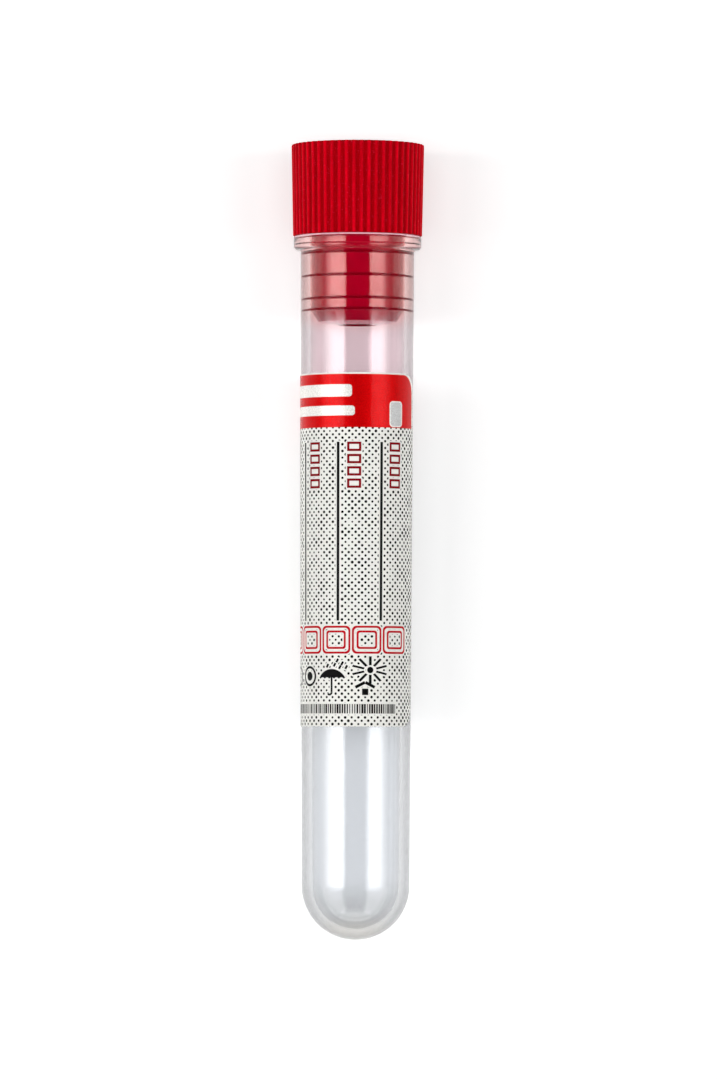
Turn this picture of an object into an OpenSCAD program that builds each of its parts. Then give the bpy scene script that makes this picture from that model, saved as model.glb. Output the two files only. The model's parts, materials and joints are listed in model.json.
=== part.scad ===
// Blood collection tube: a drafted, round-ended test tube with a flanged mouth, a ribbed one-piece stopper
// whose plug seals with thin rings, and a wrapped label. It lies on its round end and on two of the
// stopper's ribs, with the front of the label up.

/* [Tube] */
// Length from the round end to the mouth
tube_len = 75; // [72:0.5:110]
// Outer diameter just under the flange
neck_d = 12.16; // [11.8:0.02:13]
// Outer diameter where the round end begins
end_d = 11.52; // [10.8:0.02:11.8]
// Wall at the mouth
mouth_wall = 1.0; // [0.8:0.05:1.3]
// Wall of the round end
end_wall = 1.16; // [0.8:0.02:1.6]
// Width of the lead-in at the mouth of the bore
lead_in_w = 0.22; // [0.1:0.02:0.4]
// Depth of the lead-in
lead_in_h = 0.85; // [0.4:0.05:1.2]

/* [Flange] */
// Diameter of the flange
flange_d = 13.66; // [13:0.02:15]
// Height of the flange
flange_h = 1.5; // [1.1:0.05:2.5]
// Rounding of its lower edge
flange_edge_r = 0.5; // [0.2:0.05:0.55]
// Rounding of its upper edge
flange_lip_r = 0.18; // [0.1:0.02:0.3]

/* [Stopper head] */
// Overhang of the head's underside beyond the flange, over the ribs
head_overhang = 0.07; // [0:0.01:0.5]
// How much wider the head is at its top than at its underside
head_flare = 0.4; // [0:0.05:1.5]
// Height of the head
head_h = 9.8; // [6:0.05:15]
// Width of the bevel round its top
head_bevel = 0.4; // [0.2:0.05:0.6]
// Number of ribs
rib_count = 54; // [24:2:60]
// Width of a rib
rib_w = 0.38; // [0.2:0.02:0.5]
// Height of a rib
rib_h = 0.17; // [0.1:0.01:0.25]

/* [Stopper plug] */
// Length of the plug, with its tapered tip and crowned end
plug_len = 9.7; // [7:0.05:14]
// Gap between the plug and the bore, between the rings
plug_gap = 0.14; // [0.08:0.01:0.3]
// Running clearance of the seal rings in the bore
ring_gap = 0.02; // [0.01:0.005:0.04]
// Width of a seal ring
ring_w = 0.34; // [0.24:0.02:0.5]
// Depth of the first ring below the mouth
ring_depth = 1.88; // [1.4:0.02:3]
// Spacing of the rings
ring_pitch = 2.44; // [1:0.02:4]
// Length of the tapered tip
tip_h = 1.12; // [0.5:0.02:2]
// Width of the taper
tip_w = 0.72; // [0.3:0.02:1.2]
// How far the crowned end stands out below the tip
end_crown = 0.45; // [0.1:0.05:0.9]
// Width of the flat rim round the hollow core
rim_w = 0.15; // [0.1:0.05:0.4]
// Diameter of the hollow core
core_d = 4; // [2:0.1:5.6]
// Thickness of the head above the core
crown_t = 3; // [1.5:0.1:5]

/* [Label] */
// Height of the label's lower edge above the round end
label_low = 22.7; // [20:0.1:28]
// Height of the label
label_h = 37.5; // [20:0.1:42]
// Thickness of the label
label_t = 0.1; // [0.06:0.01:0.11]
// Angle that the label wraps round the tube
label_wrap = 300; // [120:1:330]
// Angle from the front to the label's right edge
label_edge = 76.5; // [30:0.5:120]
// Radius of the label's corners
label_corner_r = 2.2; // [0.3:0.1:3]

/* [Hidden] */
$fn = 96;
over = 0.5;                                  // how far a cutting shape runs past what it cuts
corner_bite = 0.96;                          // a corner's arc meets the label's edges at a slight angle

end_r = end_d / 2;
neck_r = neck_d / 2;
flange_r = flange_d / 2;
draft_len = tube_len - end_r;                // drafted length, above the round end's centre
function barrel_r(z) = end_r + (neck_r - end_r) * (z - end_r) / draft_len;
function wall(z) = end_wall + (mouth_wall - end_wall) * (z - end_r) / draft_len;
function bore_r(z) = barrel_r(z) - wall(z);

head_base_r = flange_r + head_overhang;
head_r = head_base_r + head_flare / 2;
head_draft = atan((head_r - head_base_r) / head_h);
rib_r = rib_w / 2;
rib_pitch = 360 / rib_count;

plug_end = tube_len - plug_len;
tip_end = plug_end + end_crown;
tip_start = tip_end + tip_h;
ring_r = ring_w / 2;
ring_lowest = tip_start + ring_w;            // the last ring sits just above the tapered tip
ring_heights = concat(
    [for (z = [tube_len - ring_depth : -ring_pitch : ring_lowest + ring_w]) z],
    [tip_start + ring_r]);

// The lying pose: the floor touches the round end and whichever edge of the head, flange or label it meets
// first, and the head stands on two ribs.
function on_two_ribs(r) = (r - rib_r) * cos(rib_pitch / 2) + rib_r;
function lean_on(r, z) = atan(r / (z - end_r)) - asin(end_r / norm([z - end_r, r]));
lean = max(
    lean_on(on_two_ribs(head_r), tube_len + head_h - head_bevel),
    lean_on(on_two_ribs(head_base_r), tube_len),
    lean_on(flange_r, tube_len - flange_lip_r),
    lean_on(barrel_r(label_low) + label_t, label_low));
lying_low_y = end_r * cos(lean) - end_r;
lying_high_y = (head_r - head_bevel) * sin(lean) + (tube_len + head_h) * cos(lean);

// Turns the upright part down, with its front up, and puts the middle of its box over the origin.
module lying() {
    translate([0, -(lying_low_y + lying_high_y) / 2, end_r * (1 - sin(lean))])
        rotate([-90 + lean, 0, 0])
            children();
}

// What a rounding of radius r takes off the outer corner at (x, y) of a profile; up is 1 or -1.
module corner_off(x, y, r, up) {
    difference() {
        translate([x - r, up > 0 ? y - r : y - over])
            square([r + over, r + over]);
        translate([x - r, y - up * r])
            circle(r);
    }
}

module outer_profile() {
    intersection() {
        translate([0, end_r])
            circle(end_r);
        square([end_r, end_r]);
    }
    polygon([[0, end_r], [end_r, end_r], [neck_r, tube_len], [0, tube_len]]);
    difference() {
        translate([0, tube_len - flange_h])
            square([flange_r, flange_h]);
        corner_off(flange_r, tube_len, flange_lip_r, 1);
        corner_off(flange_r, tube_len - flange_h, flange_edge_r, -1);
    }
}

module bore_profile() {
    inner_r = bore_r(end_r);
    mouth_r = bore_r(tube_len);
    lead_r = bore_r(tube_len - lead_in_h);
    intersection() {
        translate([0, end_r])
            circle(inner_r);
        square([inner_r, end_r]);
    }
    polygon([
        [0, end_r],
        [inner_r, end_r],
        [lead_r, tube_len - lead_in_h],
        [mouth_r + lead_in_w, tube_len],
        [mouth_r + lead_in_w, tube_len + over],
        [0, tube_len + over]]);
}

module tube() {
    color([0.9, 0.93, 0.94, 0.35])
        lying()
            rotate_extrude()
                difference() {
                    outer_profile();
                    bore_profile();
                }
}

// What the ends and the bevelled top edge leave of the head.
module head_envelope() {
    translate([0, 0, tube_len])
        rotate_extrude()
            polygon([
                [0, 0],
                [head_r + over, 0],
                [head_r + over, head_h - head_bevel - over],
                [head_r - head_bevel, head_h],
                [0, head_h]]);
}

module rib(angle) {
    rotate([0, 0, angle])
        translate([head_base_r - rib_r, 0, tube_len])
            rotate([0, head_draft, 0])
                translate([0, 0, -over])
                    cylinder(r = rib_r, h = head_h + 2 * over);
}

module head() {
    intersection() {
        head_envelope();
        union() {
            translate([0, 0, tube_len])
                cylinder(r1 = head_base_r - rib_h, r2 = head_r - rib_h, h = head_h);
            for (i = [0 : rib_count - 1])
                rib(90 + (i + 0.5) * rib_pitch);
        }
    }
}

module plug() {
    top_r = bore_r(tube_len) - plug_gap;
    low_r = bore_r(tip_start) - plug_gap;
    rotate_extrude() {
        polygon([
            [0, plug_end],
            [core_d / 2 + rim_w, plug_end],
            [low_r - tip_w, tip_end],
            [low_r, tip_start],
            [top_r, tube_len],
            [0, tube_len]]);
        for (z = ring_heights)
            translate([bore_r(z) - ring_gap - ring_r, z])
                circle(ring_r);
    }
}

module stopper() {
    color([0.72, 0.02, 0.06])
        lying()
            difference() {
                union() {
                    head();
                    plug();
                }
                translate([0, 0, plug_end - over])
                    cylinder(d = core_d, h = plug_len + head_h - crown_t + over);
            }
}

// What rounds the label's corner at an angle from the front; side is 1 at its right edge, up is 1 at its top.
module label_corner_off(angle, z, side, up) {
    inset = corner_bite * label_corner_r;
    rotate([0, 0, angle])
        translate([0, 0, z])
            rotate([90, 0, 0])
                linear_extrude(height = neck_r + 1)
                    scale([side, up])
                        translate([-inset, -inset])
                            difference() {
                                square(inset + over);
                                circle(label_corner_r);
                            }
}

module label() {
    top = label_low + label_h;
    low_r = barrel_r(label_low);
    top_r = barrel_r(top);
    color("white")
        lying()
            difference() {
                rotate([0, 0, label_edge - label_wrap - 90])
                    rotate_extrude(angle = label_wrap)
                        polygon([
                            [low_r, label_low],
                            [low_r + label_t, label_low],
                            [top_r + label_t, top],
                            [top_r, top]]);
                for (side = [-1, 1], up = [-1, 1])
                    label_corner_off(
                        side > 0 ? label_edge : label_edge - label_wrap,
                        up > 0 ? top : label_low, side, up);
            }
}

tube();
stopper();
label();
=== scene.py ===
"""Looks of a lying blood collection tube: clear plastic tube, ribbed red stopper and printed label."""

import json
import math

import bmesh
import bpy
from mathutils import Matrix, Vector


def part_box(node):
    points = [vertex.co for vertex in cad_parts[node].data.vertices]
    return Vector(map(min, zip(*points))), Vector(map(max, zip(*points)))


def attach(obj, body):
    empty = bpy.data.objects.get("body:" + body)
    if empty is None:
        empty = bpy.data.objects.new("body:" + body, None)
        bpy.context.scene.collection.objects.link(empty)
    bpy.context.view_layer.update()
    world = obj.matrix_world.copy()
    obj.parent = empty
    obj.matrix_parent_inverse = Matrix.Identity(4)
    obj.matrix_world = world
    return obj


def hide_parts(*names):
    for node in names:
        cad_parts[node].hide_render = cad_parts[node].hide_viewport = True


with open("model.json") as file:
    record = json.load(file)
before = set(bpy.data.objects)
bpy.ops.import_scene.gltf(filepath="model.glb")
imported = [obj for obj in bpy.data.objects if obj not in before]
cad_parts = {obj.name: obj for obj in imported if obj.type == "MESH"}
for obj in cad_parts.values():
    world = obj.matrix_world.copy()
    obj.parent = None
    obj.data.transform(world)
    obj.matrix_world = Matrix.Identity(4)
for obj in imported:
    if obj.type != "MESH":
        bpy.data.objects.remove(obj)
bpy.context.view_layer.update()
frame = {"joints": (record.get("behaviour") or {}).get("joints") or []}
bpy.context.scene.view_settings.view_transform = "Standard"

MM = 0.001
# A step so small that it doesn't show, in mm, and the angle above which an edge is sharp, in degrees
STEP = 0.01
SHARP_ANGLE = 35

# Sizes of the tube, in mm
TUBE_LEN = 75.0
END_R = 5.76
NECK_R = 6.08
MOUTH_WALL = 1.0
END_WALL = 1.16
LEAD_IN_W = 0.22
LEAD_IN_H = 1.02
FLANGE_R = 6.83
FLANGE_H = 1.5
FLANGE_EDGE_R = 0.5
FLANGE_LIP_R = 0.18
NECK_FILLET_R = 0.24
TUBE_COLUMNS = 256
ROUND_STEPS = 40
BARREL_ZS = (20, 40, 60)
# How far below the flange's fillet its own shade starts to set in
SHADE_FADE = 0.1

# Sizes of the stopper's head, in mm
HEAD_BASE_R = 6.888
HEAD_TOP_R = 7.088
HEAD_H = 9.795
HEAD_EDGE_R = 0.15
# The head's lower edge: how far in, how far up, and share of the ribs' height
HEAD_FOOT, HEAD_FOOT_H = ((0.12, 0.01, 0), (0.04, 0.05, 0.5)), 0.13
RIB_COUNT = 54
RIB_H = 0.17
RIB_COLUMNS = 12
# Share of the pitch that a rib takes, and how steeply its sides fall
RIB_SHARE, RIB_POWER = 0.62, 2.2

# Sizes of the stopper's plug, in mm
PLUG_LEN = 9.5
PLUG_GAP = 0.14
RING_W = 0.34
RING_SQUEEZE = 0.04
RING_DEPTH = 1.88
RING_PITCH = 2.44
TIP_H = 1.07
TIP_W = 0.72
END_CROWN = 0.3
CORE_R = 2.0
CORE_ROOF_R = 0.6
CORE_RIM_R = 0.1
CORE_RIM_W = 0.3
CROWN_T = 3.0
# How close to the bore's wall a ring's crest, pressed on it, takes a dark painted shade
RING_PAINTED_SHADE = 0.05
# Thin lines in dark painted shade where the plug touches the lip and the lead-in's foot: depth below the
# mouth, and reach beyond the bore
LIP_LINE_DEPTHS, LIP_LINE_OUT = (0.34, 0.26, 0.18), 0.21
LEAD_LINE_DEPTH, LEAD_LINE_W, LEAD_LINE_OUT = 1.02, 0.16, 0.03

# Marks on the stopper's rows, in place of the share of the ribs' height: dark painted shade, and the
# crowned end with its painted reflection
PAINTED_SHADE_MARK, CROWNED = -1.0, -0.4

# Sizes of the label, in mm, and its edge, in degrees from the front
LABEL_LOW = 22.7
LABEL_H = 37.5
LABEL_T = 0.1
LABEL_WRAP = 300.0
LABEL_EDGE = 76.5
LABEL_CORNER_R = 2.2
LABEL_COLUMNS, LABEL_ROWS, LABEL_CORNER_ROWS = 240, 16, 10

DRAFT_LEN = TUBE_LEN - END_R
LABEL_MM_PER_DEG = math.radians(END_R + (NECK_R - END_R) / 2 + LABEL_T)
LABEL_LEFT = (LABEL_EDGE - LABEL_WRAP) * LABEL_MM_PER_DEG
LABEL_RIGHT = LABEL_EDGE * LABEL_MM_PER_DEG

# The print, in mm: x runs round from the front line, z up from the label's lower edge
INK_SOFTNESS = 0.035
INK_CORNER_R = 0.03
CLEAR_MARGIN = 0.14
RED_FROM = 31.68
RED_TOP_BORDER = 0.17
RED_SIDE_BORDER = 0.47
RED_CORNER_R = 2.0
# White stripes of the red head: their left end, then the right end, low and high edge of each
STRIPES_FROM, STRIPES = -20.0, ((-0.65, 35.05, 36.1), (-0.35, 33.05, 33.85))
STRIPE_CORNER_R, STRIPE_GROW = 0.2, 0.12
# The grey plate on the red head: its ends, rise over the head's lower edge, height and corner radius
TAG_FROM, TAG_TO, TAG_RISE, TAG_H, TAG_CORNER_R = 3.75, 5.3, 0.2, 2.5, 0.3
# The ruled part of the writing field, and its upright rules
LINES_FROM, LINES_TO = -22.6, 6.4
RULE_X, RULE_PITCH, RULE_W = 2.69, 4.695, 0.3
RULE_LOW, RULE_HIGH = 11.2, 30.14
# The small squares between the rules: off the rule, heights, half width, half height and stroke
CAPTION_OFF, CAPTION_ZS = 1.72, (29.64, 28.34, 27.04, 25.74)
CAPTION_HALF_W, CAPTION_HALF_H, CAPTION_STROKE = 0.75, 0.5, 0.25
# The row of double boxes, each given by half width, half height and corner radius
BOXES_X, BOXES_Z, BOXES_PITCH, BOXES_TO = 4.55, 9.18, 3.4, 6.25
BOXES, BOX_STROKE, BOX_CORNER_LOSS = ((1.62, 1.48, 0.5), (1.12, 0.98, 0.3)), 0.22, 0.12
# The dot screen: place of one dot, side of a dot's cell, radius and how much it varies in patches, and how
# far the screen reaches to either side, below the label and into the red head
DOT_X, DOT_Z = -0.107, 31.29
DOT_CELL = 0.5045
DOT_R = 0.13
DOT_SPREAD, DOT_PATCHES = 0.035, (0.9, 2)
DOTS_SIDE, DOTS_LOW, DOTS_OVER = 30, -1, 0.3
# Dots grow towards the label's sides, by this much between these distances from a line near the front
DOT_GROW, DOT_GROW_X, DOT_GROW_FROM, DOT_GROW_TO = 0.03, -0.6, 4.8, 7.5
# The plain signs: the line that they stand along, and each one's place and sizes
SIGNS_Z = 5.33
DISC_XS, DISC_R, DISC_STROKE, DISC_DOT_R = (-5.84, -8.6), 0.95, 0.26, 0.48
DOME_X, DOME_DROP = -2.72, 0.25
DOME_R, DOME_SINK, DOME_HALF_W, DOME_H, DOME_CORNER_R = 1.75, 0.75, 1.7, 1.2, 0.02
SCALLOP_R, SCALLOP_DROP, SCALLOP_PITCH = 0.26, 0.14, 0.56
STEM_W, STEM_DROP, STEM_RISE, HOOK_R, HOOK_H = 0.22, 1.45, 0.2, 0.25, 0.55
DASHES = (-0.5, 1.35), (0.35, 1.45), (0.65, 1.9), (0.95, 1.2), (1.2, 1.6), (1.65, 1.2)
DASH_HALF_W, DASH_HALF_H, DASH_TURN = 0.12, 0.22, 30
SUN_X, SUN_RISE, SUN_R, SUN_RAYS, SUN_STRETCH = 1.52, 0.65, 0.34, 10, 0.72
RAY_FROM, RAY_TO, RAY_HALF_W = 0.5, 1.45, 0.11
ROOF_X, ROOF_DROP, ROOF_W, ROOF_OVERLAP, ROOF_TURN = 0.97, 1.7, 1.12, 0.04, 27
ROOF_LOW, ROOF_HIGH, WALLS_HALF_W, WALLS_LOW, WALLS_HIGH = 0.62, 0.94, 0.34, -0.3, 0.38
# The strip of ticks: its ends and edges, the ticks' pitch, and half their width as a share of it
STRIP_FROM, STRIP_TO, STRIP_LOW, STRIP_HIGH = -20.0, 4.65, 1.38, 2.38
TICK_PITCH, TICK_REACH = 0.27, (0.19, 0.45)

# Colours, linear
PAPER_WHITE = (0.86, 0.85, 0.81, 1)
PAPER_BACKS = (0.84, 0.84, 0.82, 1), (0.92, 0.92, 0.90, 1)
INK_BLACK = (0.003, 0.003, 0.003, 1)
INK_DARK_RED = (0.22, 0.0, 0.004, 1)
INK_RED = (0.48, 0.0, 0.006, 1)
FIELD_RED = (0.61, 0.0, 0.001, 1)
TAG_GREY = (0.58, 0.58, 0.58, 1)
RED_BODY = (0.31, 0.0, 0.002, 1)
# Painted light on the ribs' ridges; the grooves keep the body's red as painted shade
RED_RIDGE_PAINTED_LIGHT = (0.75, 0.0, 0.012, 1)
RED_CLOUD = (0.41, 0.0, 0.004, 1)
RED_SPECK = (0.80, 0.04, 0.09, 1)
RED_GLINT = (1.0, 0.05, 0.1, 1)
# Deep red of the plug's clouds, and painted shade on its sides, rings' crests, contact lines and core
RED_DEEP_CLOUD_AND_SHADE = (0.22, 0.0, 0.012, 1)
# The stopper's red, painted lighter on the plug for the light that reaches it through the clear tube
RED_PLUG_PAINTED_LIGHT = (0.42, 0.0, 0.028, 1)
# Painted reflection on the plug's crowned end
RED_CROWN_PAINTED_REFLECTION = (0.70, 0.03, 0.09, 1)
# Painted shade on the plug's rings' crests, contact lines and core
RED_SEAL_PAINTED_SHADE = (0.26, 0.0, 0.008, 1)
PLUG_GLINT = (0.7, 1.0, 1.0, 1)
CLEAR_TINT = (0.765, 0.778, 0.795, 1)
# Painted shade at the round end
CLEAR_END_PAINTED_SHADE = (0.69, 0.70, 0.71, 1)
# Painted glow of the stopper's red in the clear plastic: above the label, and deeper round the plug
CLEAR_PAINTED_GLOW = (0.81, 0.715, 0.74, 1)
CLEAR_PAINTED_DEEP_GLOW = (0.95, 0.62, 0.60, 1)
CLEAR_WARM = (1.04, 1.01, 0.955, 1)
CLEAR_SHADOW = (0.985, 0.985, 0.99, 1)
# Painted pink highlight on the flange's upper edge
RIM_PAINTED_HIGHLIGHT = (1.0, 0.60, 0.70, 1)
FLOOR_GREY = (0.88, 0.88, 0.88, 1)
WHITE = (1, 1, 1, 1)

# Grains of the materials: scale, per metre, and detail; then the reliefs' strength and height, in metres
HAZE, WAVE, FROST = (160, 3), (90, 2), (3000, 2)
CLOUDS, SPECKS, RED_GRAIN = (900, 4), (5200, 2), (7000, 2)
PAPER_GRAIN, FIBRE = (9000, 3), (3000, 4)
WAVE_RELIEF, FROST_RELIEF, PAPER_RELIEF = (0.05, 0.0001), (0.1, 0.00005), (0.9, 0.00004)
HEAD_RELIEF, DRAWN_RELIEF, PLUG_RELIEF = (0.25, 0.00003), (0.2, 0.00004), (0.1, 0.00003)
# Marks drawn out along the stopper: how much coarser they are along it, and their scale
DRAWN_STRETCH, DRAWN = (1, 0.06, 1), (4200, 2)
STREAK_STRETCH, STREAKS = (1, 0.03, 1), (1100, 2)
# The middle range of a grain, and the ranges over which specks and streaks set in, with their shares
MIDDLE = 0.3, 0.7
SPECK_RANGE, SPECK_SHARE = (0.62, 0.76), 0.45
STREAK_RANGE, STREAK_SHARE = (0.45, 0.75), 0.6
CLOUD_SHARE, PLUG_CLOUD_SHARE = 0.5, 0.3

# Roughness, gloss and metallic share of the materials; pairs run over their grain
CLEAR_ROUGHNESS = 0.03, 0.07
RIM_ROUGHNESS, RIM_CLEAR = 0.25, 0.25
HEAD_ROUGHNESS, HEAD_GLOSS, HEAD_LUSTRE = (0.40, 0.55), 0.05, 0.06
PLUG_ROUGHNESS, PLUG_GLOSS = 0.07, 1.0
SEAL_ROUGHNESS = 0.6
PAPER_ROUGHNESS, PAPER_GLOSS, PAPER_LUSTRE = (0.14, 0.26), 0.03, 0.02
FIELD_LUSTRE = 0.08, 0.5
FIELD_GLOSS, FIELD_COAT_ROUGHNESS = (0.0, 0.2), 0.12
BACK_ROUGHNESS = 0.7
PLASTIC_IOR, PLUG_IOR, PAPER_IOR = 1.5, 1.65, 1.5
# Painted shade on the plug's sides: its deep red sets in over this range of its slant, up to this share
PLUG_PAINTED_SHADE_RANGE, PLUG_PAINTED_SHADE_SHARE = (0.22, 0.45), 0.8

# What is left of the clear plastic's light where it is seen at a slant: on the outer face, in the bore, and
# in the bore near the round end; and how much of the outer face's loss the flange has
CLEAR_SLANT = 0.32
BORE_SLANT = 0.85
BOTTOM_SLANT = 0.55
FLANGE_SHADE = 0.4
SLANT_FROM, SLANT_TO = 0.2, 0.7
# Share of the clear plastic's glint that is left over the plug
STOPPED_GLINT = 0.18

# Where colours of the clear plastic start and end to change, in mm from the round end
# Spans of the painted glow of the stopper's red: above the label, and deeper round the plug
PAINTED_GLOW_SPAN = 45.0, 62.0
PAINTED_DEEP_GLOW_SPAN = 64.5, 68.0
# Span of the painted shade at the round end
END_PAINTED_SHADE_SPAN = 3.0, 7.0
WARM_SPAN = 0.6, 2.2
BOTTOM_SPAN = 1.6, 3.4
STOPPED_SPAN = 64.6, 66.7

# The floor's size, in metres, and the radiance that it adds where it is seen
FLOOR_SIZE = 4
FLOOR_GLOW = 0.41

# The camera and what it looks at, in mm in the upright part's frame, its lens in mm and its roll in degrees
CAMERA_AT, CAMERA_TOWARDS = (0.2, -741, 21), (0.2, 0, 42.6)
CAMERA_LENS, CAMERA_ROLL = 231.7, 0.18

# Lamps: distance from the tube, length and place along it, in mm
LAMP_REACH = 600
LAMP_LEN = 180
LAMP_Z = 60
# Side lamps: inner and outer edge, in degrees from the front, and radiance
SIDE_LAMPS = (("soft_box_left", -27, -77, 4.8), ("soft_box_right", 29, 71, 4.25))
# Parts of a side lamp from its inner to its outer edge: start, end and share of the radiance
SOFT_BOX_PARTS = ((0.0, 0.7, 1.0), (0.7, 0.8, 0.8), (0.8, 0.9, 0.5), (0.9, 1.0, 0.25))
# Low lamps, beyond the round end: direction, in degrees from the front
LOW_LAMPS = (("soft_box_low_left", -52), ("soft_box_low_right", 50))
LOW_RADIANCE, LOW_LEN, LOW_SPAN = 1.9, 900, 46
FOOT_AT, FOOT_TOWARDS, FOOT_SIZE = (0, -34, -75), (0, 0, 3), (90, 34)
FILL_AT, FILL_TOWARDS, FILL_SIZE, FILL_RADIANCE = (0, -1200, 40), (0, 0, 40), (900, 900), 1.85

# The surround: strength low down and at the zenith, and the heights between which it fades; then the share
# that the gap at either end takes away, and how high and how wide it is
SKY_LOW, SKY_HIGH, SKY_SPAN = 0.5, 0.03, (0.6, 0.92)
GAP_SHARE, GAP_RISE, GAP_WIDTH = 0.9, (0.15, 0.32), (0.3, 0.6)


def barrel_r(z):
    """Outer radius of the barrel at a height above the round end."""
    return END_R + (NECK_R - END_R) * (z - END_R) / DRAFT_LEN


def bore_r(z):
    """Radius of the bore at a height above the round end."""
    return barrel_r(z) - END_WALL - (MOUTH_WALL - END_WALL) * (z - END_R) / DRAFT_LEN


def lying_matrix():
    """Turns the upright part, in mm, into the row frame: its axis runs along the stopper's joint."""
    axis = Vector(frame["joints"][0]["axis"]).normalized()
    across = Vector((1, 0, 0))
    back = axis.cross(across)
    low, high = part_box("tube")
    end_centre = Vector((0, low.y + END_R * MM, low.z + END_R * MM))
    turn = Matrix((across, back, axis)).transposed().to_4x4()
    return Matrix.Translation(end_centre - axis * END_R * MM) @ turn @ Matrix.Scale(MM, 4)


LYING = lying_matrix()


def in_row(x, y, z):
    """A point given in the upright part's frame, in mm, in the row frame."""
    return LYING @ Vector((x, y, z))


# The pieces that the lamps of only_mirrored() light
PIECES = bpy.data.collections.new("pieces")


def place(obj, body, slot, *nodes):
    """Puts a piece made upright, in mm, in its place on a body, for the CAD nodes that it stands for."""
    obj.data.transform(LYING)
    bpy.context.scene.collection.objects.link(obj)
    PIECES.objects.link(obj)
    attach(obj, body)
    if nodes:
        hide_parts(*nodes)
    return obj


# ---------------------------------------------------------------- meshes

def arc(cx, cz, r, start, end, steps):
    """Points on an arc of a profile, from one angle to another, in degrees."""
    turns = [math.radians(start + (end - start) * i / steps) for i in range(steps + 1)]
    return [(cx + r * math.cos(a), cz + r * math.sin(a)) for a in turns]


def held(rows, long_run=0.3, hold=2 * STEP):
    """Profile rows with two more close to the ends of each long run, so that the run shades as straight."""
    out = [rows[0]]
    for start, end in zip(rows, rows[1:]):
        run = math.dist(start[:2], end[:2])
        if run > long_run:
            for share in (hold / run, 1 - hold / run):
                out.append(tuple(a + (b - a) * share for a, b in zip(start, end)))
        out.append(end)
    return out


def smooth_object(name, bm):
    """An object from a bmesh, shaded smooth but for its sharp edges."""
    mesh = bpy.data.meshes.new(name)
    bm.to_mesh(mesh)
    bm.free()
    mesh.shade_smooth()
    mesh.set_sharp_from_angle(angle=math.radians(SHARP_ANGLE))
    return bpy.data.objects.new(name, mesh)


def revolve(name, rows, columns, shape_at):
    """A closed solid from profile rows (r, z, ...) that start and end on the axis.

    shape_at(row, angle) gives the radius there, as for ribs, and a shade for the colour.
    """
    bm = bmesh.new()
    shade = bm.verts.layers.float.new("shade")
    rings = []
    for row in held(rows):
        ring = []
        for c in range(columns if row[0] > 0 else 1):
            angle = 2 * math.pi * c / columns
            r, tint = shape_at(row, angle)
            ring.append(bm.verts.new((r * math.sin(angle), -r * math.cos(angle), row[1])))
            ring[-1][shade] = tint
        rings.append(ring)
    for low, high in zip(rings, rings[1:]):
        for c in range(columns):
            d = (c + 1) % columns
            loop = [low[c % len(low)], low[d % len(low)], high[d % len(high)], high[c % len(high)]]
            corners = list(dict.fromkeys(loop))
            if len(corners) > 2:
                bm.faces.new(corners)
    bmesh.ops.recalc_face_normals(bm, faces=bm.faces)
    return smooth_object(name, bm)


def tube_profile():
    """Rows (r, z, share of the outer face) of the tube, from its round end up and down the bore."""
    under = TUBE_LEN - FLANGE_H
    neck_r = barrel_r(under)
    flange_from = under - NECK_FILLET_R - STEP
    outer = arc(0, END_R, END_R, -90, 0, ROUND_STEPS)
    outer += [(barrel_r(z), z) for z in (*BARREL_ZS, flange_from - SHADE_FADE)]
    outer += arc(neck_r + NECK_FILLET_R, under - NECK_FILLET_R, NECK_FILLET_R, 180, 90, 5)
    outer += arc(FLANGE_R - FLANGE_EDGE_R, under + FLANGE_EDGE_R, FLANGE_EDGE_R, -90, 0, 10)
    outer += arc(FLANGE_R - FLANGE_LIP_R, TUBE_LEN - FLANGE_LIP_R, FLANGE_LIP_R, 0, 90, 6)
    bore = [(bore_r(TUBE_LEN) + LEAD_IN_W, TUBE_LEN)]
    bore += [(bore_r(z), z) for z in (TUBE_LEN - LEAD_IN_H, *reversed(BARREL_ZS))]
    bore += arc(0, END_R, bore_r(END_R), 0, -90, ROUND_STEPS)
    rows = [(r, z, FLANGE_SHADE if z > flange_from else 1) for r, z in outer] + [(r, z, 0) for r, z in bore]
    return [(0 if r < 1e-6 else r, z, shade) for r, z, shade in rows]


def tube_shape(row, angle):
    """Radius of the tube's row, the same at every angle, and its shade: 1 outside, 0 in the bore."""
    return row[0], row[2]


def rib_shape(angle):
    """How far a rib stands proud at an angle, from 0 to 1: rounded ridges with wider grooves."""
    pitch = 2 * math.pi / RIB_COUNT
    off = abs((angle / pitch) % 1 - 0.5) * 2
    return max(0.0, 1 - (off / RIB_SHARE) ** RIB_POWER) if off < RIB_SHARE else 0.0


def core_rows(end, top):
    """Rows of the hollow core, in painted shade, from its roof down, and of the rim at the plug's end."""
    roof = top - CROWN_T - CORE_ROOF_R
    rim = (CORE_R + CORE_RIM_R, end + CORE_RIM_R, CORE_RIM_R)
    rows = [(0, top - CROWN_T, PAINTED_SHADE_MARK)]
    rows += [(r, z, PAINTED_SHADE_MARK) for r, z in arc(CORE_R - CORE_ROOF_R, roof, CORE_ROOF_R, 90, 0, 6)]
    rows += [(r, z, PAINTED_SHADE_MARK) for r, z in arc(*rim, 180, 225, 3)]
    rows += [(r, z, CROWNED) for r, z in arc(*rim, 240, 270, 2)]
    return rows


def tip_rows(end, tip):
    """Rows of the plug's crowned end and of the taper above it."""
    tip_r = bore_r(tip) - PLUG_GAP - TIP_W
    crown = end + END_CROWN
    return [(CORE_R + CORE_RIM_W, end + STEP, CROWNED), (tip_r, crown, CROWNED),
            (tip_r + STEP, crown + STEP, 0), (bore_r(tip) - PLUG_GAP, tip, 0)]


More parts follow.
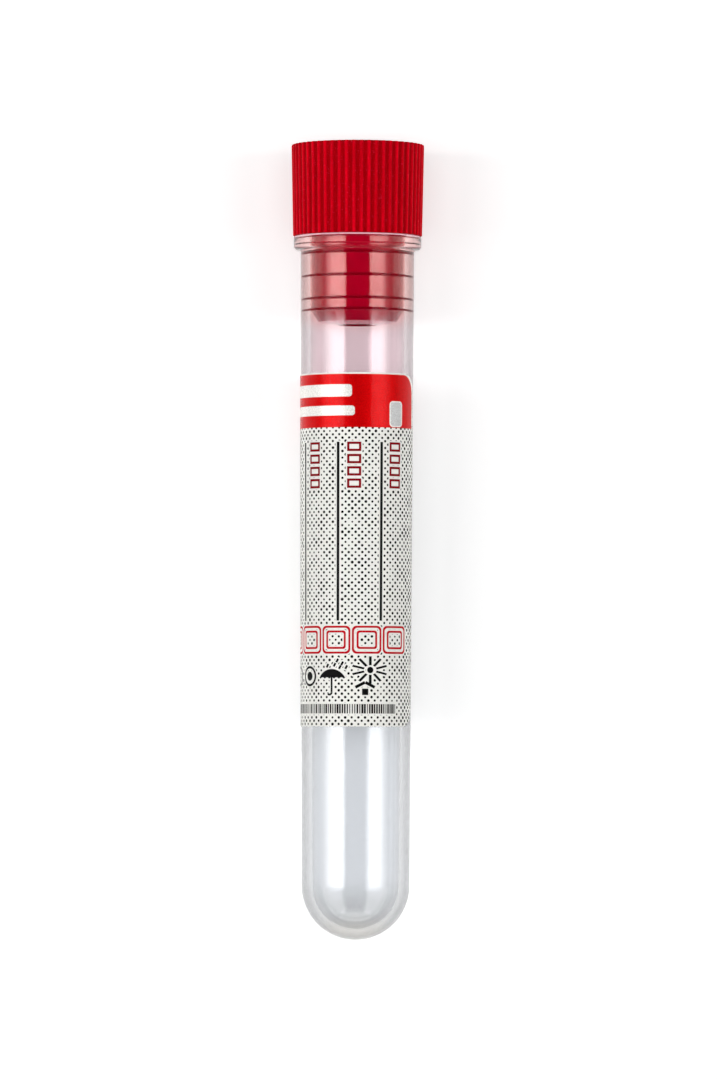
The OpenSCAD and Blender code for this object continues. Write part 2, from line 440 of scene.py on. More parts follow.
def ring_heights(tip):
    """Heights of the seal rings, from the one just above the taper up to the one nearest the mouth."""
    highest = TUBE_LEN - RING_DEPTH
    count = int((highest - tip - 2 * RING_W) / RING_PITCH) + 1
    return [tip + RING_W / 2] + [highest - RING_PITCH * i for i in reversed(range(count))]


def ring_rows(z):
    """Rows of a seal ring, whose crest is marked for dark painted shade where it presses on the bore."""
    bead = RING_W / 2
    centre = bore_r(z) + RING_SQUEEZE - bead
    reach = math.degrees(math.acos((bore_r(z) - PLUG_GAP - centre) / bead))
    painted_shade_from = bore_r(z) - RING_PAINTED_SHADE
    return [(r, y, PAINTED_SHADE_MARK if r > painted_shade_from else 0) for r, y in arc(centre, z, bead, -reach, reach, 14)]


def contact_rows():
    """Rows of the two thin lines in dark painted shade where the plug touches the lead-in's foot and the
    lip.
    """
    mouth_r = bore_r(TUBE_LEN)
    plug_r = mouth_r - PLUG_GAP
    lead_r, lead_z, lead_w = mouth_r + LEAD_LINE_OUT, TUBE_LEN - LEAD_LINE_DEPTH, LEAD_LINE_W
    rows = [(plug_r, lead_z - lead_w, 0), (lead_r, lead_z - lead_w / 4, PAINTED_SHADE_MARK),
            (lead_r, lead_z + lead_w / 4, PAINTED_SHADE_MARK), (plug_r, lead_z + lead_w, 0)]
    lip_foot, *lip = LIP_LINE_DEPTHS
    rows.append((plug_r, TUBE_LEN - lip_foot, 0))
    rows += [(mouth_r + LIP_LINE_OUT, TUBE_LEN - depth, PAINTED_SHADE_MARK) for depth in lip]
    rows.append((plug_r, TUBE_LEN + STEP, 0))
    return rows


def head_rows(top):
    """Rows of the ribbed head, from its underside up to the middle of its top."""
    rows = [(HEAD_BASE_R - inset, TUBE_LEN + up, ribbed) for inset, up, ribbed in HEAD_FOOT]
    for h in (HEAD_FOOT_H, HEAD_H - HEAD_EDGE_R):
        rows.append((HEAD_BASE_R + (HEAD_TOP_R - HEAD_BASE_R) * h / HEAD_H, TUBE_LEN + h, 1))
    edge = arc(HEAD_TOP_R - HEAD_EDGE_R, top - HEAD_EDGE_R, HEAD_EDGE_R, 0, 90, 5)
    rows += [(r, z, 1) for r, z in edge[1:]]
    return rows + [(HEAD_TOP_R - HEAD_EDGE_R - RIB_H - 5 * STEP, top, 0), (0, top, 0)]


def stopper_profile():
    """Rows (r, z, share of the ribs' height or a mark) of the stopper, from its core's roof to its top."""
    top = TUBE_LEN + HEAD_H
    end = TUBE_LEN - PLUG_LEN
    tip = end + END_CROWN + TIP_H
    rings = [row for z in ring_heights(tip) for row in ring_rows(z)]
    return core_rows(end, top) + tip_rows(end, tip) + rings + contact_rows() + head_rows(top)


def stopper_shape(row, angle):
    """Radius of the stopper's row at an angle, with its ribs, and the shade of its colour.

    The shade is 0 in painted shade, where the plug presses on the bore and in its core, 0.6 on its crowned
    end with its painted reflection, 1 on the body and 2 on a rib, whose ridge is painted lighter.
    """
    r, z, ribbed = row
    if ribbed < 0:
        return r, 1 + ribbed
    ridge = rib_shape(angle)
    return r - ribbed * RIB_H * (1 - ridge), 1 + ribbed * ridge


def mark_rims(mesh):
    """Gives the flange's narrow upper edge the second material, with its painted highlight."""
    for face in mesh.polygons:
        x, y, z = face.center
        if math.hypot(x, y) > FLANGE_R - FLANGE_LIP_R and z > TUBE_LEN - FLANGE_LIP_R:
            face.material_index = 1


def mark_plug(mesh):
    """Gives the plug's faces the second material, and those marked for painted shade the third."""
    shade = [item.value for item in mesh.attributes["shade"].data]
    for face in mesh.polygons:
        if face.center.z < TUBE_LEN:
            painted_shade = max(shade[v] for v in face.vertices) < 0.5
            face.material_index = 2 if painted_shade else 1


def label_row(z, radius):
    """One row of the label at a height: points between its rounded edges, with their u."""
    mid_r = barrel_r(LABEL_LOW + LABEL_H / 2) + LABEL_T
    corner = LABEL_CORNER_R
    depth = min(z - LABEL_LOW, LABEL_LOW + LABEL_H - z, corner)
    inset = corner - math.sqrt(max(0.0, corner ** 2 - (corner - depth) ** 2))
    pull = math.degrees(inset / mid_r)
    first = LABEL_EDGE - LABEL_WRAP + pull
    last = LABEL_EDGE - pull
    row = []
    for c in range(LABEL_COLUMNS + 1):
        deg = first + (last - first) * c / LABEL_COLUMNS
        a = math.radians(deg)
        u = (deg - LABEL_EDGE + LABEL_WRAP) / LABEL_WRAP
        row.append((radius * math.sin(a), -radius * math.cos(a), z, u))
    return row


def label_heights():
    """Heights of the label's rows, closer together at its rounded corners."""
    bends = [LABEL_CORNER_R * (1 - math.cos(math.radians(90 * i / LABEL_CORNER_ROWS)))
             for i in range(LABEL_CORNER_ROWS + 1)]
    inner_run = LABEL_H - 2 * LABEL_CORNER_R
    zs = [LABEL_LOW + h for h in bends]
    zs += [LABEL_LOW + LABEL_CORNER_R + inner_run * i / LABEL_ROWS for i in range(1, LABEL_ROWS)]
    return zs + [LABEL_LOW + LABEL_H - h for h in reversed(bends)]


def border(rows):
    """The vertices once round the outside of a sheet."""
    left = [row[0] for row in rows]
    right = [row[-1] for row in rows]
    return rows[0][:-1] + right[:-1] + rows[-1][:0:-1] + left[:0:-1]


def label_sheet(bm, lift, coords):
    """Rows of vertices at a height over the barrel, whose places in the print go into coords."""
    rows = []
    for z in label_heights():
        rows.append([])
        for x, y, h, u in label_row(z, barrel_r(z) + lift):
            v = bm.verts.new((x, y, h))
            coords[v] = (u, (h - LABEL_LOW) / LABEL_H)
            rows[-1].append(v)
    return rows


def label_object():
    """The label as a thin closed shell: its printed face, its back and its rim."""
    bm = bmesh.new()
    uv = bm.loops.layers.uv.new("print")
    coords = {}
    face_rows, back_rows = (label_sheet(bm, lift, coords) for lift in (LABEL_T, -STEP))
    for r in range(len(face_rows) - 1):
        for c in range(LABEL_COLUMNS):
            low, high = face_rows[r], face_rows[r + 1]
            bm.faces.new([low[c], low[c + 1], high[c + 1], high[c]])
            low, high = back_rows[r], back_rows[r + 1]
            bm.faces.new([low[c], high[c], high[c + 1], low[c + 1]]).material_index = 1
    outer, inner = border(face_rows), border(back_rows)
    for i in range(len(outer)):
        j = (i + 1) % len(outer)
        bm.faces.new([outer[i], inner[i], inner[j], outer[j]]).material_index = 1
    bmesh.ops.recalc_face_normals(bm, faces=bm.faces)
    for f in bm.faces:
        for loop in f.loops:
            loop[uv].uv = coords[loop.vert]
    return smooth_object("label_sheet", bm)


# ---------------------------------------------------------------- materials

class Shader:
    """The node tree of a material or a world, with short calls for the nodes that it is made of."""

    def __init__(self, owner):
        self.owner = owner
        owner.use_nodes = True
        self.tree = owner.node_tree
        self.tree.nodes.clear()

    def node(self, kind, inputs=None, **settings):
        """A node of a kind; its inputs are given by name or place, as values or as other outputs."""
        made = self.tree.nodes.new("ShaderNode" + kind)
        for key, value in settings.items():
            setattr(made, key, value)
        for key, value in (inputs or {}).items():
            if isinstance(value, bpy.types.NodeSocket):
                self.tree.links.new(value, made.inputs[key])
            else:
                made.inputs[key].default_value = value
        return made

    def math(self, operation, *values, clamp=False):
        return self.node("Math", dict(enumerate(values)), operation=operation, use_clamp=clamp).outputs[0]

    def vector(self, operation, *values):
        inputs = dict(zip(("Vector", "Scale") if operation == "SCALE" else (0, 1, 2), values))
        made = self.node("VectorMath", inputs, operation=operation)
        return made.outputs["Value" if operation in ("LENGTH", "DISTANCE") else "Vector"]

    def spread(self, value, low, high, from_low=0.0, from_high=1.0, smooth=False):
        """A value moved from one range to another."""
        inputs = {
            "Value": value, "From Min": from_low, "From Max": from_high, "To Min": low, "To Max": high}
        kind = "SMOOTHSTEP" if smooth else "LINEAR"
        return self.node("MapRange", inputs, interpolation_type=kind).outputs["Result"]

    def place(self):
        """Coordinates, in metres, that stay with the piece."""
        return self.node("TexCoord").outputs["Object"]

    def part(self, vector, axis):
        return self.node("SeparateXYZ", {"Vector": vector}).outputs[axis]

    def shade(self):
        """The value that the mesh's rows carry."""
        return self.node("Attribute", attribute_name="shade").outputs["Fac"]

    def slant(self):
        """How much a face is turned away: 0 where it is seen straight on, 1 at its outline."""
        return self.node("LayerWeight", {"Blend": 0.5}).outputs["Facing"]

    def noise(self, at, scale, detail):
        return self.node("TexNoise", {"Vector": at, "Scale": scale, "Detail": detail}).outputs["Fac"]

    def blend(self, share, under, over):
        """Colour between two colours, by a share from 0 to 1."""
        made = self.node("Mix", data_type="RGBA")
        for key, value in (("Factor", share), ("A", under), ("B", over)):
            socket = made.inputs[key]
            if isinstance(value, bpy.types.NodeSocket):
                self.tree.links.new(value, socket)
            else:
                socket.default_value = value
        return next(o for o in made.outputs if o.name == "Result" and o.type == "RGBA")

    def bump(self, height, strength, distance, normal=None):
        inputs = {"Height": height, "Strength": strength, "Distance": distance}
        if normal:
            inputs["Normal"] = normal
        return self.node("Bump", inputs).outputs["Normal"]

    def finish(self, surface):
        kind = "OutputWorld" if isinstance(self.owner, bpy.types.World) else "OutputMaterial"
        self.node(kind, {"Surface": surface})
        return self.owner


def over_span(s, span, start=0.0, end=1.0):
    """A value that changes smoothly over a span of the tube's length, in mm from its round end."""
    low, high = (in_row(0, 0, z).y for z in span)
    return s.spread(s.part(s.place(), "Y"), start, end, low, high, smooth=True)


def clear_colour(s):
    """Colour of the clear plastic: redder near the stopper, a painted glow of its red, and darker at the
    round end, painted shade.
    """
    # Painted glow of the stopper's red, above the label
    colour = s.blend(over_span(s, PAINTED_GLOW_SPAN), CLEAR_TINT, CLEAR_PAINTED_GLOW)
    # Painted shade: darker at the round end
    colour = s.blend(over_span(s, END_PAINTED_SHADE_SPAN, 1.0, 0.0), colour, CLEAR_END_PAINTED_SHADE)
    # Deeper painted glow of the stopper's red round the plug
    colour = s.blend(over_span(s, PAINTED_DEEP_GLOW_SPAN), colour, CLEAR_PAINTED_DEEP_GLOW)
    warm = s.blend(over_span(s, WARM_SPAN, 1.0, 0.0), WHITE, CLEAR_WARM)
    return s.vector("MULTIPLY", colour, warm)


def clear_share(s):
    """Share of its colour that the clear plastic keeps: less where it is seen at a slant."""
    steep = s.spread(s.slant(), 0.0, 1.0, SLANT_FROM, SLANT_TO, smooth=True)
    in_bore = s.spread(over_span(s, BOTTOM_SPAN, 1.0, 0.0), 1 - BORE_SLANT, 1 - BOTTOM_SLANT)
    lost = s.math("MULTIPLY", steep, s.spread(s.shade(), in_bore, 1 - CLEAR_SLANT))
    return s.math("SUBTRACT", 1.0, lost)


def clear_plastic():
    """Clear moulded plastic, faintly wavy and hazy."""
    s = Shader(bpy.data.materials.new("clear_plastic"))
    at = s.place()
    body = s.node("BsdfPrincipled", {
        "Base Color": s.vector("SCALE", clear_colour(s), clear_share(s)),
        "Specular Tint": s.blend(over_span(s, STOPPED_SPAN), WHITE, (*(STOPPED_GLINT,) * 3, 1)),
        "Roughness": s.spread(s.noise(at, *HAZE), *CLEAR_ROUGHNESS),
        "Transmission Weight": 1.0, "IOR": PLASTIC_IOR,
        "Normal": s.bump(s.noise(at, *WAVE), *WAVE_RELIEF)})
    return s.finish(see_through(s, body))


def see_through(s, body):
    """Lets light through a clear body's shadow."""
    shadow = s.node("BsdfTransparent", {"Color": CLEAR_SHADOW})
    seen = s.node("LightPath").outputs["Is Shadow Ray"]
    mix = s.node("MixShader", {0: seen, 1: body.outputs["BSDF"], 2: shadow.outputs["BSDF"]})
    return mix.outputs["Shader"]


def frosted_rim_painted_highlight():
    """The flange's narrow upper edge: frosted, with a painted pink highlight for the light that it catches
    and the stopper's red that it reflects.
    """
    s = Shader(bpy.data.materials.new("frosted_rim_painted_highlight"))
    body = s.node("BsdfPrincipled", {
        "Base Color": RIM_PAINTED_HIGHLIGHT, "Roughness": RIM_ROUGHNESS,
        "Transmission Weight": RIM_CLEAR, "IOR": PLASTIC_IOR,
        "Normal": s.bump(s.noise(s.place(), *FROST), *FROST_RELIEF)})
    return s.finish(see_through(s, body))


def red_head():
    """Softly satin moulded plastic: deeper red between the ribs in painted shade, lighter ridges in painted
    light, lightly clouded, streaked and speckled.
    """
    s = Shader(bpy.data.materials.new("red_head"))
    at = s.place()
    cloud = s.noise(at, *CLOUDS)
    streak = s.noise(s.vector("MULTIPLY", at, STREAK_STRETCH), *STREAKS)
    drawn = s.noise(s.vector("MULTIPLY", at, DRAWN_STRETCH), *DRAWN)
    # Painted light on the ridges and painted shade in the grooves, by the rows' shade
    colour = s.blend(s.spread(s.shade(), 0, 1, 1, 2), RED_BODY, RED_RIDGE_PAINTED_LIGHT)
    colour = s.blend(s.spread(streak, 0.0, STREAK_SHARE, *STREAK_RANGE), colour, RED_BODY)
    colour = s.blend(s.spread(cloud, 0.0, CLOUD_SHARE, *MIDDLE), colour, RED_CLOUD)
    specks = s.spread(s.noise(at, *SPECKS), 0.0, SPECK_SHARE, *SPECK_RANGE)
    relief = s.bump(s.noise(at, *RED_GRAIN), *HEAD_RELIEF, s.bump(drawn, *DRAWN_RELIEF))
    body = s.node("BsdfPrincipled", {
        "Base Color": s.blend(specks, colour, RED_SPECK), "Roughness": s.spread(cloud, *HEAD_ROUGHNESS),
        "Metallic": HEAD_LUSTRE, "IOR": PLASTIC_IOR, "Specular IOR Level": HEAD_GLOSS,
        "Specular Tint": RED_GLINT, "Normal": relief})
    return s.finish(body.outputs["BSDF"])


def red_plug():
    """The same plastic on the plug, smoother and glossier, its red painted lighter for the light that the
    clear tube lets onto it, with painted shade at a slant on its sides and a paler crowned end, a painted
    reflection.
    """
    s = Shader(bpy.data.materials.new("red_plug"))
    at = s.place()
    cloud = s.spread(s.noise(at, *CLOUDS), 0.0, PLUG_CLOUD_SHARE, *MIDDLE)
    # Clouded in patches, and painted shade: a deep red on the sides seen at a slant
    deep = s.spread(s.slant(), cloud, PLUG_PAINTED_SHADE_SHARE, *PLUG_PAINTED_SHADE_RANGE, smooth=True)
    # Paler crowned end: painted reflection
    beyond_crown = s.spread(s.shade(), 0.0, 1.0, 1 + CROWNED, 1.0)
    body = s.node("BsdfPrincipled", {
        "Base Color": s.blend(beyond_crown, RED_CROWN_PAINTED_REFLECTION, s.blend(deep, RED_PLUG_PAINTED_LIGHT, RED_DEEP_CLOUD_AND_SHADE)),
        "Roughness": PLUG_ROUGHNESS, "IOR": PLUG_IOR,
        "Specular IOR Level": PLUG_GLOSS, "Specular Tint": PLUG_GLINT,
        "Normal": s.bump(s.noise(at, *RED_GRAIN), *PLUG_RELIEF)})
    return s.finish(body.outputs["BSDF"])


def red_seal_painted_shade():
    """Painted shade on the plug's pressed rings, its contact lines and its core: deep red, without a glint.
    """
    s = Shader(bpy.data.materials.new("red_seal_painted_shade"))
    body = s.node("BsdfPrincipled", {
        "Base Color": s.blend(s.noise(s.place(), *CLOUDS), RED_DEEP_CLOUD_AND_SHADE, RED_SEAL_PAINTED_SHADE),
        "Roughness": SEAL_ROUGHNESS, "Specular IOR Level": 0.0})
    return s.finish(body.outputs["BSDF"])


class Drawing:
    """Flat shapes on the label's face, in mm: x runs round from the front line, z up from the lower edge.

    Each shape is a distance: below 0 inside it, and above 0 outside.
    """

    def __init__(self, shader):
        self.s = shader
        uv = shader.node("UVMap", uv_map="print").outputs["UV"]
        size = (LABEL_RIGHT - LABEL_LEFT, LABEL_H, 0)
        self.point = shader.vector("MULTIPLY_ADD", uv, size, (LABEL_LEFT, 0, 0))

    def box(self, x0, x1, z0, z1, turn=0.0, corner=INK_CORNER_R, at=None):
        """A rectangle, turned about its middle by an angle in degrees."""
        s = self.s
        middle = ((x0 + x1) / 2, (z0 + z1) / 2, 0)
        half = ((x1 - x0) / 2 - corner, (z1 - z0) / 2 - corner, 0)
        off = s.vector("SUBTRACT", at or self.point, middle)
        if turn:
            angle = {"Vector": off, "Angle": math.radians(turn)}
            off = s.node("VectorRotate", angle, rotation_type="Z_AXIS").outputs["Vector"]
        out = s.vector("MAXIMUM", s.vector("SUBTRACT", s.vector("ABSOLUTE", off), half), (0, 0, 0))
        return s.math("SUBTRACT", s.vector("LENGTH", out), corner)

    def disc(self, x, z, r, at=None):
        return self.s.math("SUBTRACT", self.s.vector("DISTANCE", at or self.point, (x, z, 0)), r)

    def ring(self, x, z, r, width):
        return self.s.math("SUBTRACT", self.s.math("ABSOLUTE", self.disc(x, z, r)), width / 2)

    def outline(self, half_w, half_h, z, stroke, at, corner=INK_CORNER_R, inner_corner=INK_CORNER_R):
        """A rectangle's outline, in coordinates that start again along the label."""
        inner_w, inner_h = half_w - stroke, half_h - stroke
        outer = self.box(-half_w, half_w, z - half_h, z + half_h, corner=corner, at=at)
        inner = self.box(-inner_w, inner_w, z - inner_h, z + inner_h, corner=inner_corner, at=at)
        return self.cut(outer, inner)

    def join(self, *shapes):
        shape = shapes[0]
        for other in shapes[1:]:
            shape = self.s.math("MINIMUM", shape, other)
        return shape

    def common(self, a, b):
        return self.s.math("MAXIMUM", a, b)

    def cut(self, shape, tool):
        return self.common(shape, self.s.math("MULTIPLY", tool, -1))

    def repeat(self, x, pitch):
        """Coordinates that start again every pitch, with x in the middle of one stretch."""
        off = self.s.vector("SUBTRACT", self.point, (x, 0, 0))
        return self.s.vector("WRAP", off, (pitch / 2, 100, 1), (-pitch / 2, -100, -1))

    def ink(self, shape, grow=0.0):
        """A mask, from 0 to 1, for a shape grown by some mm, with slightly soft edges."""
        return self.s.math("MULTIPLY_ADD", shape, -1 / INK_SOFTNESS, 0.5 + grow / INK_SOFTNESS, clamp=True)


def dot_screen(d):
    """Staggered dots over the whole writing field, larger in patches and towards the label's sides."""
    s = d.s
    off = s.vector("SUBTRACT", d.point, (DOT_X, DOT_Z, 0))
    turn = {"Vector": off, "Angle": math.radians(45)}
    turned = s.node("VectorRotate", turn, rotation_type="Z_AXIS").outputs["Vector"]
    cell = s.vector("WRAP", turned, (DOT_CELL / 2,) * 3, (-DOT_CELL / 2,) * 3)
    size = s.spread(s.noise(d.point, *DOT_PATCHES), DOT_R - DOT_SPREAD, DOT_R + DOT_SPREAD, *MIDDLE)
    aside = s.math("ABSOLUTE", s.math("SUBTRACT", s.part(d.point, "X"), DOT_GROW_X))
    size = s.math("ADD", size, s.spread(aside, 0.0, DOT_GROW, DOT_GROW_FROM, DOT_GROW_TO))
    field = d.box(-DOTS_SIDE, DOTS_SIDE, DOTS_LOW, RED_FROM + DOTS_OVER)
    return d.common(field, s.math("SUBTRACT", s.vector("LENGTH", cell), size))


def sun(d, x, z):
    """A small disc with rays."""
    s = d.s
    off = s.vector("MULTIPLY", s.vector("SUBTRACT", d.point, (x, z, 0)), (SUN_STRETCH, 1, 0))
    angle = s.math("ARCTAN2", s.part(off, "Y"), s.part(off, "X"))
    step = math.pi / SUN_RAYS
    angle = s.math("WRAP", s.math("ADD", angle, step), step, -step)
    reach = s.vector("LENGTH", off)
    ray = s.node("CombineXYZ", {
        "X": s.math("MULTIPLY", reach, s.math("COSINE", angle)),
        "Y": s.math("MULTIPLY", reach, s.math("SINE", angle))}).outputs["Vector"]
    return d.join(d.disc(x, z, SUN_R), d.box(RAY_FROM, RAY_TO, -RAY_HALF_W, RAY_HALF_W, at=ray))


def dome(d, x, z):
    """A filled half disc on a hooked stem, with a scalloped lower edge and a few dashes above it."""
    cap = d.common(
        d.disc(x, z - DOME_SINK, DOME_R),
        d.box(x - DOME_HALF_W, x + DOME_HALF_W, z, z + DOME_H, corner=DOME_CORNER_R))
    scallops = d.disc(0, z - SCALLOP_DROP, SCALLOP_R, at=d.repeat(x, SCALLOP_PITCH))
    foot = z - STEM_DROP
    stem = d.box(x - STEM_W / 2, x + STEM_W / 2, foot, z + STEM_RISE)
    hook = d.common(
        d.ring(x - HOOK_R, foot, HOOK_R, STEM_W),
        d.box(x - 2 * HOOK_R, x + STEM_W / 2 + STEP, foot - HOOK_H, foot))
    dashes = [
        d.box(x + dx - DASH_HALF_W, x + dx + DASH_HALF_W, z + dz - DASH_HALF_H, z + dz + DASH_HALF_H,
              turn=DASH_TURN)
        for dx, dz in DASHES]
    return d.join(d.cut(cap, scallops), stem, hook, *dashes)


def roof(d, x, z):
    """A square under a shallow chevron."""
    left = d.box(x - ROOF_W, x + ROOF_OVERLAP, z + ROOF_LOW, z + ROOF_HIGH, turn=-ROOF_TURN)
    right = d.box(x - ROOF_OVERLAP, x + ROOF_W, z + ROOF_LOW, z + ROOF_HIGH, turn=ROOF_TURN)
    return d.join(left, right, d.box(x - WALLS_HALF_W, x + WALLS_HALF_W, z + WALLS_LOW, z + WALLS_HIGH))


def plain_signs(d):
    """The signs under the boxes: a ring, a ring with a dot, a dome, a sun and a roof."""
    rings = [d.ring(x, SIGNS_Z, DISC_R, DISC_STROKE) for x in DISC_XS]
    return d.join(
        d.disc(DISC_XS[0], SIGNS_Z, DISC_DOT_R), *rings, dome(d, DOME_X, SIGNS_Z - DOME_DROP),
        sun(d, SUN_X, SIGNS_Z + SUN_RISE), roof(d, ROOF_X, SIGNS_Z - ROOF_DROP))


def red_field(d):
    """The label's red head, rounded at its upper corners only."""
    rounded = d.box(
        LABEL_LEFT + RED_SIDE_BORDER, LABEL_RIGHT - RED_SIDE_BORDER,
        RED_FROM - RED_CORNER_R - 1, LABEL_H - RED_TOP_BORDER, corner=RED_CORNER_R)
    return d.common(rounded, d.box(LABEL_LEFT - 1, LABEL_RIGHT + 1, RED_FROM, LABEL_H + 1))


def head_stripes(d):
    """White stripes on the red head."""
    return d.join(*(
        d.box(STRIPES_FROM, to, low, high, corner=STRIPE_CORNER_R) for to, low, high in STRIPES))


def grey_tag(d):
    """A small grey plate on the red head."""
    low = RED_FROM + TAG_RISE
    return d.box(TAG_FROM, TAG_TO, low, low + TAG_H, corner=TAG_CORNER_R)


def rules(d):
    """Upright rules over the writing field."""
    rule = d.box(-RULE_W / 2, RULE_W / 2, RULE_LOW, RULE_HIGH, at=d.repeat(RULE_X, RULE_PITCH))
    return d.common(d.box(LINES_FROM, LINES_TO, 0, LABEL_H), rule)


def caption_squares(d):
    """Small empty squares in a column between the rules, where captions would stand."""
    at = d.repeat(RULE_X + CAPTION_OFF, RULE_PITCH)
    squares = [d.outline(CAPTION_HALF_W, CAPTION_HALF_H, z, CAPTION_STROKE, at) for z in CAPTION_ZS]
    return d.common(d.box(LINES_FROM, LINES_TO, 0, LABEL_H), d.join(*squares))


def double_boxes(d):
    """A row of empty boxes, each with a smaller one inside."""
    at = d.repeat(BOXES_X, BOXES_PITCH)
    boxes = [d.outline(w, h, BOXES_Z, BOX_STROKE, at, r, r - BOX_CORNER_LOSS) for w, h, r in BOXES]
    return d.common(d.box(LINES_FROM, BOXES_TO, 0, LABEL_H), d.join(*boxes))


def tick_strip(d):
    """A strip of ticks of chance widths along the label's lower edge."""
    s = d.s
    around = s.math("MULTIPLY", s.part(d.point, "X"), 1 / TICK_PITCH)
    chance = s.node("TexWhiteNoise", {"W": s.math("FLOOR", around)}, noise_dimensions="1D").outputs["Value"]
    off = s.math("ABSOLUTE", s.math("SUBTRACT", s.math("FRACT", around), 0.5))
    tick = s.math("MULTIPLY", s.math("SUBTRACT", off, s.spread(chance, *TICK_REACH)), TICK_PITCH)
    return d.common(d.box(STRIP_FROM, STRIP_TO, STRIP_LOW, STRIP_HIGH), tick)


def label_print():
    """Coated paper with a red head, ruled fields over a dot screen, empty boxes and plain signs."""
    s = Shader(bpy.data.materials.new("label_print"))
    d = Drawing(s)
    black = d.join(rules(d), tick_strip(d), plain_signs(d))
    squares, boxes, tag = caption_squares(d), double_boxes(d), grey_tag(d)
    clear = d.ink(d.join(black, squares, boxes), CLEAR_MARGIN)
    dots = s.math("MULTIPLY", d.ink(dot_screen(d)), s.math("SUBTRACT", 1, clear))
    on_red = d.ink(red_field(d))
    colour = PAPER_WHITE
    for mask, ink in (
            (dots, INK_BLACK), (d.ink(black), INK_BLACK), (d.ink(squares), INK_DARK_RED),
            (d.ink(boxes), INK_RED), (on_red, FIELD_RED),
            (d.ink(d.join(head_stripes(d), tag), STRIPE_GROW), PAPER_WHITE), (d.ink(tag), TAG_GREY)):
        colour = s.blend(mask, colour, ink)

    grain = s.noise(s.place(), *PAPER_GRAIN)
    body = s.node("BsdfPrincipled", {
        "Base Color": colour, "Roughness": s.spread(grain, *PAPER_ROUGHNESS, *MIDDLE),
        "Metallic": s.spread(on_red, PAPER_LUSTRE, s.spread(grain, *FIELD_LUSTRE, *MIDDLE)),
        "IOR": PAPER_IOR, "Specular IOR Level": PAPER_GLOSS, "Coat Roughness": FIELD_COAT_ROUGHNESS,
        "Coat Weight": s.math("MULTIPLY", on_red, s.spread(grain, *FIELD_GLOSS, *MIDDLE)),
        "Normal": s.bump(grain, *PAPER_RELIEF)})
    return s.finish(body.outputs["BSDF"])


def label_back():
    """Uncoated paper of the label's back and rim."""
    s = Shader(bpy.data.materials.new("label_back"))
    body = s.node("BsdfPrincipled", {
        "Base Color": s.blend(s.noise(s.place(), *FIBRE), *PAPER_BACKS), "Roughness": BACK_ROUGHNESS})
    return s.finish(body.outputs["BSDF"])


def floor_material():
    """Pale floor that reads as white where it is lit, and keeps the object's shadow."""
    s = Shader(bpy.data.materials.new("floor_white"))
    lit = s.node("BsdfDiffuse", {"Color": FLOOR_GREY})
    path = s.node("LightPath").outputs
    seen = s.math("MAXIMUM", path["Is Camera Ray"], path["Is Glossy Ray"])
    seen = s.math("MAXIMUM", seen, path["Is Transmission Ray"])
    glow = s.node("Emission", {"Strength": s.math("MULTIPLY", seen, FLOOR_GLOW)})
    both = s.node("AddShader", {0: lit.outputs["BSDF"], 1: glow.outputs["Emission"]})
    return s.finish(both.outputs["Shader"])


# ---------------------------------------------------------------- scene

def aim(obj, target, roll=0.0):
    """Turns a camera or lamp at target, with the tube's axis up in its view."""
    forward = (target - obj.location).normalized()
    up = (LYING.to_3x3() @ Vector((0, 0, 1))).normalized()
    right = forward.cross(up).normalized()
    up = right.cross(forward)
    turn = Matrix((right, up, -forward)).transposed()
    obj.rotation_euler = (turn @ Matrix.Rotation(math.radians(roll), 3, "Z")).to_euler()


def add_camera():
    data = bpy.data.cameras.new("camera")
    data.sensor_width = 36
    data.lens = CAMERA_LENS
    data.clip_start = 0.05
    camera = bpy.data.objects.new("camera", data)
    bpy.context.scene.collection.objects.link(camera)
    camera.location = in_row(*CAMERA_AT)
    aim(camera, in_row(*CAMERA_TOWARDS), roll=CAMERA_ROLL)
    bpy.context.scene.camera = camera


def add_lamp(name, at, towards, size, radiance):
    """A soft box at a place, turned at another; places and sizes, across and along the tube, in mm."""
    data = bpy.data.lights.new(name, "AREA")
    data.shape = "RECTANGLE"
    data.size, data.size_y = size[0] * MM, size[1] * MM
    data.energy = radiance * math.pi * data.size * data.size_y
    lamp = bpy.data.objects.new(name, data)
    bpy.context.scene.collection.objects.link(lamp)
    lamp.location = in_row(*at)
    aim(lamp, in_row(*towards))
    return lamp


def only_mirrored(lamp):
    """Shows a lamp only in the pieces' reflections and through the clear plastic."""
    lamp.visible_camera = False
    lamp.visible_diffuse = False
    lamp.light_linking.receiver_collection = PIECES


def around_tube(angle, z):
    """A lamp's place at an angle from the front, in degrees, and a height along the tube."""
    turned = math.radians(angle)
    return LAMP_REACH * math.sin(turned), -LAMP_REACH * math.cos(turned), z


def lamp_width(span):
    """Width of a lamp that takes a span of degrees round the tube."""
    return 2 * LAMP_REACH * math.tan(math.radians(span / 2))


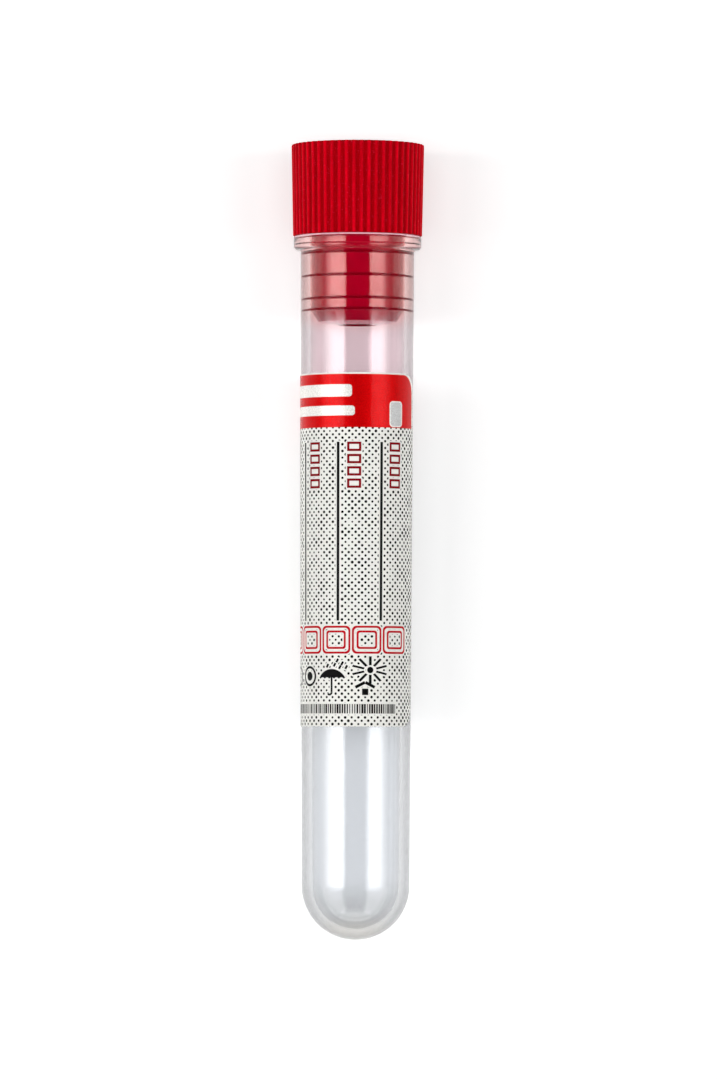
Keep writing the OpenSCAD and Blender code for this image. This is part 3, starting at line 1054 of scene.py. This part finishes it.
def add_lamps():
    """Two long soft boxes beside the camera, two low ones and one at the foot; a dim wide one fills in."""
    for name, inner, outer, radiance in SIDE_LAMPS:
        for i, (start, end, share) in enumerate(SOFT_BOX_PARTS):
            at = around_tube(inner + (outer - inner) * (start + end) / 2, LAMP_Z)
            width = lamp_width(abs(outer - inner) * (end - start))
            add_lamp(f"{name}_{i}", at, (0, 0, LAMP_Z), (width, LAMP_LEN), radiance * share)
    for name, angle in LOW_LAMPS:
        at = around_tube(angle, LAMP_Z - (LAMP_LEN + LOW_LEN) / 2)
        only_mirrored(add_lamp(name, at, (0, 0, at[2]), (lamp_width(LOW_SPAN), LOW_LEN), LOW_RADIANCE))
    only_mirrored(add_lamp("soft_box_foot", FOOT_AT, FOOT_TOWARDS, FOOT_SIZE, LOW_RADIANCE))
    fill = add_lamp("soft_box_above", FILL_AT, FILL_TOWARDS, FILL_SIZE, FILL_RADIANCE)
    fill.visible_glossy = False
    fill.visible_transmission = False


def add_world():
    """A pale surround that darkens towards the zenith, with a dark gap between the lamps at either end."""
    s = Shader(bpy.data.worlds.new("studio"))
    towards = s.node("TexCoord").outputs["Generated"]
    across, rise = s.part(towards, "X"), s.part(towards, "Z")
    fade = s.spread(rise, SKY_LOW, SKY_HIGH, *SKY_SPAN, smooth=True)
    beside = s.spread(s.math("ABSOLUTE", across), 1.0, 0.0, *GAP_WIDTH, smooth=True)
    gap = s.math("MULTIPLY", beside, s.spread(rise, 0.0, GAP_SHARE, *GAP_RISE, smooth=True))
    strength = s.math("MULTIPLY", fade, s.math("SUBTRACT", 1.0, gap))
    bpy.context.scene.world = s.finish(s.node("Background", {"Strength": strength}).outputs["Background"])


def add_floor():
    bpy.ops.mesh.primitive_plane_add(size=FLOOR_SIZE)
    floor = bpy.context.object
    floor.name = "floor"
    floor.data.materials.append(floor_material())


add_camera()
add_lamps()
add_world()
add_floor()

tube = revolve("tube_clear", tube_profile(), TUBE_COLUMNS, tube_shape)
for material in (clear_plastic(), frosted_rim_painted_highlight()):
    tube.data.materials.append(material)
mark_rims(tube.data)
place(tube, "tube", "clear_plastic", "tube")

stopper = revolve("stopper_ribbed", stopper_profile(), RIB_COUNT * RIB_COLUMNS, stopper_shape)
for material in (red_head(), red_plug(), red_seal_painted_shade()):
    stopper.data.materials.append(material)
mark_plug(stopper.data)
place(stopper, "stopper", "red_plastic", "stopper")

label = label_object()
for material in (label_print(), label_back()):
    label.data.materials.append(material)
place(label, "tube", "label_paper", "label")
